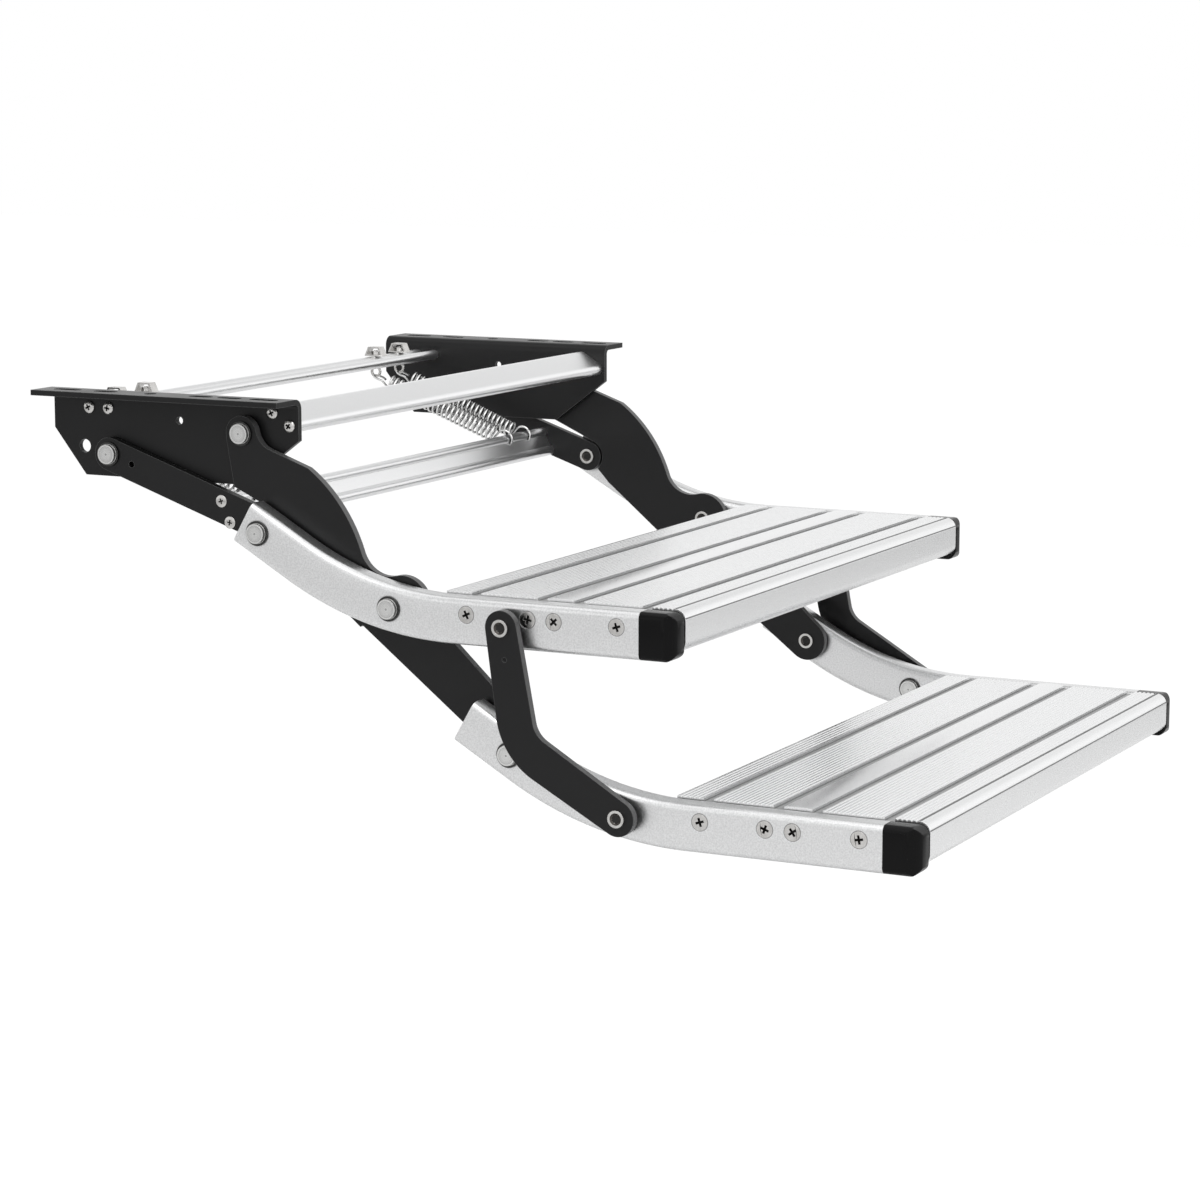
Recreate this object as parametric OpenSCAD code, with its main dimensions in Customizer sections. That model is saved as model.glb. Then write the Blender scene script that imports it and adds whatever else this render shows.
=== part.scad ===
// Folding two-tread entry step for a caravan or camper
// X runs across the step, -Y is the front, Z is up, all sizes in millimetres
// The origin lies midway between the two round flange holes, on the flange tops

/* [Treads] */
// Length of each tread between the stringers
tread_len = 440; // [360:5:560]
// Depth of each tread from its rear edge to its nose
tread_depth = 160; // [155:1:200]
// Thickness of each tread
tread_h = 26; // [24:0.5:28]
// Height of the tread top above the stringer top
tread_rise = 1; // [0.5:0.25:2]
// Bottom, rear and front wall of the tread
tread_wall = 2.2; // [1.8:0.1:3]
// Top wall of the tread, above its chambers
tread_top_wall = 4.2; // [4:0.1:5]
// Radius of the nose edges
nose_r = 7; // [5:0.5:9]
// Overlap of the tread's rear edge behind the bend
rear_over = 11.5; // [8:0.5:16]
// Depth of the tread for which the port, groove and dogleg places are given
nominal_depth = 160; // [160:1:160]
// Distance of the rear screw port from the rear edge
port_rear_edge = 22; // [20:0.5:24]
// Spacing of the two screw ports of a pair
port_pitch = 41.5; // [38:0.5:44]
// Gap between the two middle screw ports
port_mid_gap = 17.5; // [15:0.5:20]
// Radius of the solid web around a screw port
port_web_r = 5; // [4:0.25:6]
// Width of the four long grooves
groove_w = 6.5; // [5:0.5:8]
// Depth of the four long grooves
groove_d = 2; // [1.2:0.1:2.6]
// Distance of the rear groove from the rear edge
groove_rear_edge = 20.5; // [18:0.5:23]
// Width of a ribbed band with its groove
rib_band_w = 45; // [42:0.5:48]
// Width of the smooth middle band with its groove
mid_band_w = 24.5; // [22:0.5:27]
// Spacing of the grip ribs
rib_pitch = 2.9; // [2.6:0.1:3.4]
// Depth of the cuts between the grip ribs
rib_d = 1.1; // [0.8:0.1:1.6]
// Height of the crown on the smooth middle band
crown_h = 0.6; // [0.3:0.1:0.9]

/* [Stringers] */
// Width of the stringer tube across the step
tube_w = 16; // [14:0.5:20]
// Height of the stringer tube
tube_h = 29; // [28:0.5:34]
// Wall of the stringer tube
tube_wall = 2; // [1.6:0.1:3]
// Outer corner radius of the stringer tube
tube_r = 4; // [2.5:0.25:5]
// Bend radius of the stringer's centre line
bend_r = 220; // [200:5:240]
// Bend angle of the stringer
bend_deg = 30; // [28:0.5:32]
// Straight length of the stringer behind its bend
rear_straight = 42.5; // [40:0.5:55]
// Depth of the upper stringer's centre line below the flanges
upper_drop = 126; // [120:0.5:132]
// Distance of the upper stringer's bend start in front of the origin
bend_front = 220; // [215:0.5:225]
// Forward step from the upper to the lower tread
step_run = 155; // [150:0.5:160]
// Height between the two treads
step_rise = 111.5; // [106:0.5:118]

/* [Linkage] */
// Distance of the arm pivot in front of the origin
arm_pivot_front = 62.5; // [58:0.5:66]
// Depth of the arm pivot below the flange tops
arm_pivot_drop = 22.5; // [20:0.5:25]
// Distance of the link pivot behind the origin
link_pivot_rear = 36.5; // [34:0.5:40]
// Depth of the link pivot below the flange tops
link_pivot_drop = 40.5; // [38:0.5:42]
// Distance of the link's pin from the stringer's rear end
link_setback = 12.5; // [12:0.25:14]
// Place of the upper arm pin on the bend, in degrees from the bend's front
upper_pin_deg = 11.3; // [10.5:0.1:12.5]
// Distance of the lower arm pin from the lower stringer's rear end
lower_pin_setback = 35.5; // [34:0.5:38]
// Distance of the dogleg's upper pin in front of the bend
dogleg_top_front = 39; // [36:0.5:42]
// Place of the dogleg's lower pin on the bend, in degrees from the bend's front
dogleg_low_deg = 10.2; // [9:0.1:11]

/* [Arms] */
// Thickness of the arms and rear links
arm_t = 5; // [4:0.25:6]
// Running gap between the arms and the stringers
arm_gap = 1; // [0.6:0.1:1.6]
// Distance of the rear link's small hole from its frame pivot
link_hole_back = 18; // [16:0.5:20]
// Diameter of the rear link's small hole
link_hole_d = 4; // [3:0.25:5]
// Radius of the arm's end at the frame
arm_boss_r = 11; // [10:0.5:12]
// Radius of the arm's bulge in front
arm_bulge_r = 100; // [96:1:104]
// Distance of the arm pivot beyond the rim of the bulge
bulge_past_pivot = 1.35; // [1:0.05:2]
// Distance of the upper arm pin beyond the rim of the bulge
bulge_past_pin = 23.5; // [22:0.25:25]
// Radius of the arm's bump at the upper stringer
arm_bump_r = 18; // [16:0.5:19]
// Half width of the arm's lower leg, and radius of its end
arm_leg_r = 14; // [12:0.5:15]
// Half width of the rear link, and radius of its ends
link_r = 10.5; // [9.5:0.25:11]
// Distance of the link bar's upper screw from the link's front pin, along the link
link_bar_back = 39.8; // [38:0.2:42]
// Distance of the link bar's upper screw above the link's centre line
link_bar_up = 3.2; // [2:0.1:4]
// Gap between the arm's hollow edge and the end of the rear link
nest_gap = 1.2; // [0.8:0.1:2]

/* [Doglegs] */
// Thickness of the dogleg links
dogleg_t = 5; // [4:0.25:6]
// Gap between the stringers and the dogleg links
dogleg_gap = 4.5; // [4.2:0.1:6]
// Radius of the dogleg's top end
dogleg_top_r = 10.5; // [9.5:0.25:11.5]
// Half width of the dogleg at its elbow
dogleg_half = 12; // [11:0.5:13]
// Radius of the dogleg's lower end
dogleg_low_r = 11; // [10.5:0.25:12]
// Distance of the elbow in front of the dogleg's upper pin
elbow_front = 11.5; // [9:0.5:14]
// Depth of the elbow below the dogleg's upper pin
elbow_drop = 70.5; // [66:0.5:74]
// Outer rounding of the dogleg's elbow
elbow_outer_r = 48; // [40:1:52]
// Inner rounding of the dogleg's elbow
elbow_inner_r = 16; // [8:1:20]
// Diameter of the small dimple in the dogleg
dimple_d = 3; // [2:0.5:4]

/* [Mount plates] */
// Thickness of the mount plates
plate_t = 3.5; // [3:0.25:4.5]
// Running gap between the mount plates and the arms
plate_gap = 1.5; // [1:0.1:2.4]
// Reach of the mount plate in front of the origin
plate_front = 100.5; // [98:0.5:106]
// Reach of the mount plate behind the origin
plate_rear = 82; // [76:0.5:90]
// Height of the mount plate
plate_h = 55.5; // [53:0.5:57]
// Height of the plate's straight front and rear edges
plate_edge_h = 26; // [22:0.5:30]
// Run of the front slant
front_slant = 39.5; // [34:0.5:44]
// Run of the rear slant
rear_slant = 23.5; // [18:0.5:30]
// Width of the flange, measured from the plate's inner face
flange_w = 29; // [25:0.5:34]
// Inner radius of the bend between plate and flange
flange_bend_r = 3; // [2:0.25:4]
// Diameter of the round flange hole
flange_hole_d = 8; // [6:0.5:9]
// Width of the flange slots
slot_w = 7; // [6:0.25:9]
// Length of the end slots
long_slot = 20; // [18:0.5:22]
// Length of the inner slots
short_slot = 17; // [14:0.5:18]
// Diameter of the plate's rear hole
plate_hole_d = 8.5; // [6:0.5:10]
// Diameter of the plate's middle hole
small_hole_d = 5; // [3:0.5:6]

/* [Cross bars] */
// Spacing of the two beads of a cross bar, and of its screws
bar_pitch = 14.5; // [13:0.25:16]
// Bead radius of the rear and link cross bars
bead_r = 3.4; // [3:0.1:4.5]
// Thickness of the web between the beads
web_t = 3; // [2.5:0.25:4]
// Edge radius of the front cross bar
front_bar_r = 4.4; // [4:0.1:5]
// Tilt of the front cross bar
front_bar_deg = 32; // [26:1:40]

/* [Fasteners] */
// Diameter of the pivot pins
pin_d = 9; // [8:0.25:10]
// Diameter of the pivot pin heads
pin_head_d = 12.4; // [11.5:0.1:13.5]
// Height of the pivot pin heads
pin_head_h = 2.4; // [1.8:0.1:2.6]
// Diameter of the collar under a pin head
collar_d = 15.5; // [14.5:0.25:16.5]
// Thickness of the collar under a pin head
collar_h = 1; // [0.8:0.1:1.2]
// Radial running clearance of the pivot pins
pin_clear = 0.06; // [0.03:0.01:0.1]
// Diameter of the socket screw heads that close the pins
cap_screw_d = 10.6; // [10:0.1:11]
// Height of the socket screw heads
cap_screw_h = 1.8; // [1.4:0.1:2.2]
// Hexagon socket size, across its flats
hex_af = 5; // [4:0.5:6]
// Metal left under the socket in a screw head
hex_floor = 0.3; // [0.2:0.1:0.5]
// Thread diameter of the socket screws
cap_thread_d = 5; // [4:0.5:6]
// Thread length of the socket screws
cap_thread_len = 9; // [7:0.5:11]
// Diameter of the pan head bar screws
bar_screw_d = 4; // [3.5:0.25:4.25]
// Diameter of the pan heads
pan_d = 7.8; // [7:0.2:8.6]
// Height of the pan heads
pan_h = 2; // [1.6:0.1:2.4]
// Height of the low heads between the rear links and the stringers
low_head_h = 0.8; // [0.6:0.05:0.9]
// Clearance around a head that stands in the bend of the mount plate
head_relief = 0.5; // [0.4:0.1:1]
// Length of a bar screw's thread in its bar
bar_screw_len = 18; // [12:1:24]
// Diameter of the countersunk tread screws
tread_screw_d = 5; // [4:0.25:5.5]
// Diameter of the countersunk heads
csk_d = 11; // [9.5:0.25:12]
// Height of the countersunk heads
csk_h = 3; // [2.5:0.1:3.5]
// Length of a tread screw's thread in the tread
tread_screw_len = 14; // [10:1:20]
// Clearance around a screw's shank
screw_clear = 0.2; // [0.1:0.05:0.4]

/* [End caps] */
// Length of the end caps in front of the tubes
cap_len = 23; // [20:0.5:26]
// Radius of the cap's outer front edge
cap_r = 10; // [6:0.5:11]
// Radius of the cap's inner front edge
cap_inner_r = 2.5; // [1:0.5:2.5]
// Radius of the cap's top and bottom front edges
cap_edge_r = 8; // [5:0.5:9]
// Length of the cap's plug in the tube
plug_len = 8; // [6:0.5:9]
// Clearance around the cap's plug
plug_clear = 0.2; // [0.1:0.05:0.4]

/* [Springs] */
// Wire diameter of the springs
wire_d = 2; // [1.6:0.1:2.4]
// Outer diameter of the springs
coil_d = 13; // [11:0.5:15]
// Number of turns of a spring
turns = 22; // [16:1:28]
// Side place of the inner spring anchors
inner_anchor_x = 148; // [142:1:154]
// Side place of the inner spring hooks
inner_hook_x = 157; // [150:1:162]
// Side place of the outer spring anchors
outer_anchor_x = 182; // [176:1:188]
// Side place of the outer spring hooks
outer_hook_x = 185; // [178:1:192]
// Width of the spring brackets across the step
bracket_w = 7; // [6:0.5:10]
// Foot of the spring brackets along the step
bracket_foot = 15; // [13:0.5:17]
// Top of the spring brackets along the step
bracket_roof = 9; // [8:0.5:11]
// Sheet thickness of the spring brackets
bracket_t = 1; // [0.8:0.1:1.2]
// Height of the spring brackets above the rear bar
bracket_h = 6.6; // [6:0.2:7]
// Thread diameter of the spring anchor bolts
anchor_d = 3; // [2.5:0.25:3.5]
// Nut size of the spring anchors, across the flats
nut_af = 5.5; // [5:0.5:6]
// Height of the anchor nuts
nut_h = 2.4; // [2:0.1:2.6]
// Depth of the anchor eyes below the rear bar's centre
eye_drop = 8; // [7.5:0.5:12]
// Inner radius of the anchor eyes
eye_r = 2.4; // [2.2:0.1:3]
// Wire diameter of the anchor eyes
eye_wire = 2; // [1.8:0.1:2.4]

/* [Hidden] */
$fn = 64;

aluminium = "silver";
black = [0.13, 0.13, 0.14];
steel = [0.78, 0.76, 0.74];
eps = 0.01;
seam = 0.02;
seam_lap = 2;

// Layers across the step, from the middle outward
tube_in = tread_len / 2;
tube_out = tube_in + tube_w;
arm_out = tube_in - arm_gap;
arm_in = arm_out - arm_t;
plate_out = arm_in - plate_gap;
plate_in = plate_out - plate_t;
dogleg_in = tube_out + dogleg_gap;
dogleg_out = dogleg_in + dogleg_t;
flange_out = plate_in + flange_w;

// Points in the side view, as [y, z]
function dir(a) = [cos(a), sin(a)];
function side(v) = [-v[1], v[0]];
function unit(v) = v / norm(v);
bend_start = [-bend_front, -upper_drop];
bend_centre = bend_start + [0, bend_r];
front_straight = tread_depth - cap_len - rear_over;
depth_k = tread_depth / nominal_depth;
function on_bend(a) = bend_centre + bend_r * [sin(a), -cos(a)];
tube_rear = on_bend(bend_deg) + rear_straight * dir(bend_deg);
tube_front = bend_start - [front_straight, 0];
step = [-step_run, -step_rise];
arm_pivot = [-arm_pivot_front, -arm_pivot_drop];
link_pivot = [link_pivot_rear, -link_pivot_drop];
link_pin = tube_rear - link_setback * dir(bend_deg);
upper_pin = on_bend(upper_pin_deg);
lower_pin_up = tube_rear - lower_pin_setback * dir(bend_deg);
lower_pin = lower_pin_up + step;
dogleg_top = bend_start + [rear_over - depth_k * (dogleg_top_front + rear_over), 0];
dogleg_low_up = on_bend(dogleg_low_deg);
dogleg_low = dogleg_low_up + step;
elbow = dogleg_top - [elbow_front, elbow_drop];

// Side view of a tread, from the rear edge forward
nose_y = tube_front[0] - cap_len;
tread_rear_y = nose_y + tread_depth;
tread_top_z = -upper_drop + tube_h / 2 + tread_rise;
tread_low_z = tread_top_z - tread_h;
port_z = -upper_drop + 4.5;
port_ys = [for (a = [0, port_pitch, port_pitch + port_mid_gap, 2 * port_pitch + port_mid_gap])
    tread_rear_y - depth_k * (port_rear_edge + a)];
groove_ys = [for (a = [0, rib_band_w, rib_band_w + mid_band_w, 2 * rib_band_w + mid_band_w])
    tread_rear_y - depth_k * (groove_rear_edge + a)];

// Cross bar beads
front_bead = [-plate_front + 6.5, -17];
front_bead_rear = front_bead + bar_pitch * dir(front_bar_deg);
rear_bead = [plate_rear - 27, -12];
rear_bead_front = rear_bead - [bar_pitch, 0];
link_dir = unit(link_pin - link_pivot);
link_bead_top = link_pin - link_bar_back * link_dir - link_bar_up * side(link_dir);
link_bead_low = link_bead_top + bar_pitch * dir(245);
anchor_y = rear_bead[0];
eye_z = rear_bead[1] - eye_drop;

// Plate holes
plate_rear_hole = [plate_rear - 23, -37];
plate_small_hole = [-13, -17.5];
slot_ys = [plate_rear - 19.5, plate_rear - 48.5, -37.5, -58.5, -plate_front + 17];
slot_lens = [long_slot, short_slot, short_slot, short_slot, long_slot];
flange_mid = (plate_out + flange_out) / 2;

// Helpers
module across(x0, x1) {
    translate([x0, 0, 0]) rotate([90, 0, 90]) linear_extrude(x1 - x0) children();
}

module both_sides() {
    children();
    mirror([1, 0, 0]) children();
}

module left_side() {
    mirror([1, 0, 0]) children();
}

module rod(x0, x1, p, d) {
    translate([x0, p[0], p[1]]) rotate([0, 90, 0]) cylinder(d = d, h = x1 - x0);
}

// Straight strap between two round ends
module strap(a, ra, b, rb) {
    base = atan2(b[1] - a[1], b[0] - a[0]);
    phi = acos((ra - rb) / norm(b - a));
    translate(a) circle(ra);
    translate(b) circle(rb);
    polygon([
        a + ra * dir(base + phi), a, a + ra * dir(base - phi),
        b + rb * dir(base - phi), b, b + rb * dir(base + phi)
    ]);
}

// Corner points of a rounded rectangle, so that straight and bent lengths join face to face
function rounded_points(w, h, r, n) = [for (q = [0 : 3], i = [0 : n])
    let (sx = (q == 0 || q == 3) ? 1 : -1, sy = q < 2 ? 1 : -1, a = 90 * q + 90 * i / n)
    [sx * (w / 2 - r) + r * cos(a), sy * (h / 2 - r) + r * sin(a)]];

// Pivot pin with its collar and head beyond x0, pointing inward to x1
module pivot_pin(x0, x1, p) {
    difference() {
        union() {
            rod(x1, x0 + eps, p, pin_d);
            rod(x0, x0 + collar_h, p, collar_d);
            rod(x0 + collar_h - eps, x0 + collar_h + pin_head_h, p, pin_head_d);
        }
        rod(x1 - 1, x1 + cap_thread_len + 1, p, cap_thread_d);
    }
}

// Socket screw whose head lies on x0 and whose thread runs outward in the pin
module socket_screw(x0, p) {
    difference() {
        union() {
            rod(x0 - cap_screw_h, x0, p, cap_screw_d);
            rod(x0 - eps, x0 + cap_thread_len, p, cap_thread_d);
        }
        translate([x0 - cap_screw_h - 1, p[0], p[1]]) rotate([0, 90, 0])
            cylinder(d = hex_af / cos(30), h = cap_screw_h + 1 - hex_floor, $fn = 6);
    }
}

// Pan head screw on the face x0, with its thread pointing inward
module pan_screw(x0, p, len, h) {
    rod(x0 - len, x0 + eps, p, bar_screw_d);
    translate([x0, p[0], p[1]]) rotate([0, 90, 0]) rotate_extrude()
        polygon([[0, 0], [pan_d / 2, 0], [pan_d / 2, h * 0.45], [pan_d / 2 - 0.7, h * 0.8],
            [pan_d / 2 - 1.7, h], [0, h]]);
}

// Mount plate of the right side
module plate_outline() {
    polygon([
        [plate_rear, 0], [plate_rear, -plate_edge_h], [plate_rear - rear_slant, -plate_h],
        [-plate_front + front_slant, -plate_h], [-plate_front, -plate_edge_h], [-plate_front, 0]
    ]);
}

module slot(len, w) {
    square([w, len - w], center = true);
    for (s = [-1, 1]) translate([0, s * (len - w) / 2]) circle(d = w);
}

module flange_section() {
    outer_r = flange_bend_r + plate_t;
    corner = [plate_in + outer_r, -outer_r];
    difference() {
        union() {
            translate([plate_in, -plate_h]) square([plate_t, plate_h - outer_r]);
            translate([plate_in + outer_r, -plate_t]) square([flange_w - outer_r, plate_t]);
            intersection() {
                translate(corner) circle(outer_r);
                translate([plate_in, -outer_r]) square(outer_r);
            }
        }
        translate(corner) circle(flange_bend_r);
    }
}

module mount_plate() {
    difference() {
        intersection() {
            translate([0, plate_rear, 0]) rotate([90, 0, 0])
                linear_extrude(plate_rear + plate_front) flange_section();
            across(plate_in - 1, flange_out + 1) union() {
                plate_outline();
            }
        }
        for (p = [arm_pivot, link_pivot]) rod(plate_in - 1, plate_out + 1, p, pin_d);
        for (p = [front_bead, front_bead_rear, rear_bead, rear_bead_front])
            rod(plate_in - 1, plate_out + 1, p, bar_screw_d + 2 * screw_clear);
        rod(plate_out, plate_out + pan_h + head_relief, front_bead_rear, pan_d + 2 * head_relief);
        rod(plate_in - 1, plate_out + 1, plate_rear_hole, plate_hole_d);
        rod(plate_in - 1, plate_out + 1, plate_small_hole, small_hole_d);
        translate([flange_mid, 0, -plate_t - 1]) linear_extrude(plate_t + 2) {
            circle(d = flange_hole_d);
            for (i = [0 : len(slot_ys) - 1]) translate([0, slot_ys[i]]) slot(slot_lens[i], slot_w);
        }
    }
}

module mount_plate_left() { color(black) left_side() mount_plate(); }
module mount_plate_right() { color(black) mount_plate(); }

// Cross bars
module bead_bar(a, b) {
    difference() {
        union() {
            translate(a) circle(bead_r);
            translate(b) circle(bead_r);
            polygon([
                a + web_t / 2 * side(unit(b - a)), a - web_t / 2 * side(unit(b - a)),
                b - web_t / 2 * side(unit(b - a)), b + web_t / 2 * side(unit(b - a))
            ]);
        }
        translate(a) circle(d = bar_screw_d);
        translate(b) circle(d = bar_screw_d);
    }
}

module front_cross_bar() {
    color(aluminium) across(-plate_in, plate_in) difference() {
        strap(front_bead, front_bar_r, front_bead_rear, front_bar_r);
        translate(front_bead) circle(d = bar_screw_d);
        translate(front_bead_rear) circle(d = bar_screw_d);
    }
}

module rear_cross_bar() {
    color(aluminium) difference() {
        across(-plate_in, plate_in) bead_bar(rear_bead, rear_bead_front);
        both_sides() for (x = [inner_anchor_x, outer_anchor_x])
            translate([x, anchor_y, rear_bead[1] - bead_r - 1]) cylinder(d = anchor_d, h = 2 * bead_r + 2);
    }
}

module link_cross_bar() {
    color(aluminium) across(-arm_in, arm_in) bead_bar(link_bead_top, link_bead_low);
}

module front_bar_screws() {
    color(steel) both_sides() for (p = [front_bead, front_bead_rear])
        pan_screw(plate_out, p, bar_screw_len, pan_h);
}

module rear_bar_screws() {
    color(steel) both_sides() for (p = [rear_bead, rear_bead_front])
        pan_screw(plate_out, p, bar_screw_len, pan_h);
}

module link_bar_screws() {
    color(steel) both_sides() for (p = [link_bead_top, link_bead_low])
        pan_screw(arm_out, p, bar_screw_len, low_head_h);
}

// Pivots of the frame
module arm_pivot_pins() { color(steel) both_sides() pivot_pin(arm_out + 0.2, plate_in, arm_pivot); }
module arm_pivot_screws() { color(steel) both_sides() socket_screw(plate_in, arm_pivot); }
module link_pivot_pins() { color(steel) both_sides() pivot_pin(arm_out + 0.2, plate_in, link_pivot); }
module link_pivot_screws() { color(steel) both_sides() socket_screw(plate_in, link_pivot); }

// Arms
function tangent_point(p, c, r, s) =
    c + r * dir(atan2(p[1] - c[1], p[0] - c[0]) + s * acos(r / norm(p - c)));
function fillet_centre(a, ra, b, rb, s) = let (
    d = norm(b - a), w = unit(b - a), t = (d * d + ra * ra - rb * rb) / (2 * d))
    a + t * w + s * sqrt(ra * ra - t * t) * side(w);

nest_r = link_r + nest_gap + 0.4;
bulge_centre = fillet_centre(arm_pivot, arm_bulge_r + bulge_past_pivot, upper_pin,
    arm_bulge_r + bulge_past_pin, 1);
brow_dir = dir(19.6);
brow = arm_pivot + [-28.5, -12];
neck_r = 15;
neck_c = let (
    q = brow + neck_r * side(brow_dir) - arm_pivot, k = q * brow_dir,
    s = -k - sqrt(k * k - q * q + (neck_r + arm_boss_r) * (neck_r + arm_boss_r)))
    arm_pivot + q + s * brow_dir;
heel = arm_pivot + [5.5, -33.5];
lip = link_pin + [-17.2, -18.4];
leg_front_top = upper_pin + [-18, -4.5];
leg_front = tangent_point(leg_front_top, lower_pin, arm_leg_r, 1);
leg_rear = tangent_point(lip, lower_pin, arm_leg_r, -1);
nest_top = tangent_point(heel, link_pin, nest_r, 1);
brow_fillet_r = 20;
brow_fillet = fillet_centre(upper_pin, arm_bump_r + brow_fillet_r,
    bulge_centre, arm_bulge_r + brow_fillet_r, 1);

module arm_outline() {
    difference() {
        union() {
            translate(arm_pivot) circle(arm_boss_r);
            translate(upper_pin) circle(arm_bump_r);
            translate(lower_pin) circle(arm_leg_r);
            intersection() {
                translate(bulge_centre) circle(arm_bulge_r, $fn = 180);
                polygon([
                    arm_pivot + [-arm_boss_r + 3, 0], neck_c - neck_r * side(brow_dir),
                    brow - 34 * brow_dir, upper_pin + [12, 64], upper_pin + [12, -2], upper_pin + [30, -16],
                    lip, link_pin + [-12.2, -12.9], link_pin, nest_top,
                    heel, arm_pivot + [arm_boss_r, -2.5]
                ]);
            }
            polygon([
                leg_front_top, leg_front, lower_pin, leg_rear, lip, link_pin + [-20, 0],
                bulge_centre + (arm_bulge_r - 0.1) * unit(brow_fillet - bulge_centre), brow_fillet,
                upper_pin + (arm_bump_r - 0.1) * unit(brow_fillet - upper_pin), upper_pin
            ]);
            polygon([
                arm_pivot, arm_pivot + (arm_boss_r - 0.1) * unit(neck_c - arm_pivot), neck_c,
                neck_c - neck_r * side(brow_dir), arm_pivot + [-4, -20]
            ]);
        }
        translate(brow_fillet) circle(brow_fillet_r + 0.03);
        translate(neck_c) circle(neck_r + 0.03);
        translate(link_pin) circle(nest_r);
        strap(link_pivot, link_r + nest_gap, link_pin, link_r + nest_gap);
        translate(arm_pivot) circle(d = pin_d + 2 * pin_clear);
        translate(upper_pin) circle(d = pin_d + 2 * pin_clear);
        translate(lower_pin) circle(d = pin_d + 2 * pin_clear);
    }
}

module arm_left() { color(black) left_side() across(arm_in, arm_out) arm_outline(); }
module arm_right() { color(black) across(arm_in, arm_out) arm_outline(); }

// Rear links
module link_outline() {
    difference() {
        strap(link_pivot, link_r, link_pin, link_r);
        translate(link_pivot) circle(d = pin_d + 2 * pin_clear);
        translate(link_pin) circle(d = cap_thread_d);
        for (p = [link_bead_top, link_bead_low]) translate(p) circle(d = bar_screw_d + 2 * screw_clear);
        translate(link_pivot + link_hole_back * link_dir) circle(d = link_hole_d);
    }
}

module rear_link_left() { color(black) left_side() across(arm_in, arm_out) link_outline(); }
module rear_link_right() { color(black) across(arm_in, arm_out) link_outline(); }

module link_end_screws() {
    color(steel) both_sides() difference() {
        union() {
            rod(arm_in - cap_screw_h, arm_in, link_pin, cap_screw_d);
            rod(arm_in - eps, arm_out, link_pin, cap_thread_d);
        }
        translate([arm_in - cap_screw_h - 1, link_pin[0], link_pin[1]]) rotate([0, 90, 0])
            cylinder(d = hex_af / cos(30), h = cap_screw_h + 1 - hex_floor, $fn = 6);
    }
}

// Curved stringer tube, with the centre line of the upper one
module tube_section(inset) {
    polygon(rounded_points(tube_w - 2 * inset, tube_h - 2 * inset, tube_r - inset * 0.9, 6));
}

module tube_sweep(inset, over) {
    x = tube_in + tube_w / 2;
    translate([x, bend_start[0], bend_start[1]]) rotate([90, 0, 0])
        linear_extrude(front_straight + over) tube_section(inset);
    translate([x, bend_centre[0], bend_centre[1]]) rotate([0, 90, 0])
        rotate_extrude(angle = bend_deg, $fn = 240) translate([bend_r, 0]) rotate(90) tube_section(inset);
    translate([x, on_bend(bend_deg)[0], on_bend(bend_deg)[1]]) rotate([bend_deg - 90, 0, 0])
        translate([0, 0, -seam_lap]) linear_extrude(rear_straight + over + seam_lap)
            tube_section(inset + seam);
}

module stringer(pins, studs) {
    difference() {
        tube_sweep(0, 0);
        tube_sweep(tube_wall, 1);
        for (p = pins) rod(tube_in - 1, tube_out + 1, p, pin_d);
        for (y = port_ys) {
            rod(tube_in - 1, tube_out + 1, [y, port_z], tread_screw_d + 2 * screw_clear);
            translate([tube_out - csk_h, y, port_z]) rotate([0, 90, 0])
                cylinder(d1 = tread_screw_d, d2 = csk_d, h = csk_h);
        }
    }
}

module upper_stringer_left() { color(aluminium) left_side() stringer([link_pin, upper_pin, dogleg_top]); }
module upper_stringer_right() { color(aluminium) stringer([link_pin, upper_pin, dogleg_top]); }

module to_lower() {
    translate([0, step[0], step[1]]) children();
}

lower_pins = [lower_pin_up, dogleg_low_up];
module lower_stringer_left() { color(aluminium) to_lower() left_side() stringer(lower_pins); }
module lower_stringer_right() { color(aluminium) to_lower() stringer(lower_pins); }

// End caps
module end_cap() {
    x = tube_in + tube_w / 2;
    intersection() {
        translate([x, tube_front[0], tube_front[1]]) rotate([90, 0, 0])
            linear_extrude(cap_len) tube_section(0);
        translate([0, 0, tube_front[1] - tube_h]) linear_extrude(2 * tube_h) union() {
            translate([tube_in, nose_y + cap_r]) square([tube_w, cap_len - cap_r + 1]);
            translate([tube_in, nose_y + cap_inner_r]) square([tube_w - cap_r, cap_r]);
            translate([tube_in + cap_inner_r, nose_y])
                square([tube_w - cap_r - cap_inner_r, cap_inner_r + 1]);
            translate([tube_in + cap_inner_r, nose_y + cap_inner_r]) circle(cap_inner_r);
            translate([tube_out - cap_r, nose_y + cap_r]) circle(cap_r);
        }
        across(tube_in - 1, tube_out + 1) union() {
            translate([nose_y + cap_edge_r, tube_front[1] - tube_h / 2]) square([cap_len, tube_h]);
            translate([nose_y, tube_front[1] - tube_h / 2 + cap_edge_r])
                square([cap_edge_r + 1, tube_h - 2 * cap_edge_r]);
            for (s = [-1, 1]) translate([nose_y + cap_edge_r, tube_front[1] + s * (tube_h / 2 - cap_edge_r)])
                circle(cap_edge_r);
        }
    }
    translate([x, tube_front[0] + plug_len, tube_front[1]]) rotate([90, 0, 0])
        linear_extrude(plug_len + 1) tube_section(tube_wall + plug_clear);
}

module upper_cap_left() { color("black") left_side() end_cap(); }
module upper_cap_right() { color("black") end_cap(); }
module lower_cap_left() { color("black") to_lower() left_side() end_cap(); }
module lower_cap_right() { color("black") to_lower() end_cap(); }

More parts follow.
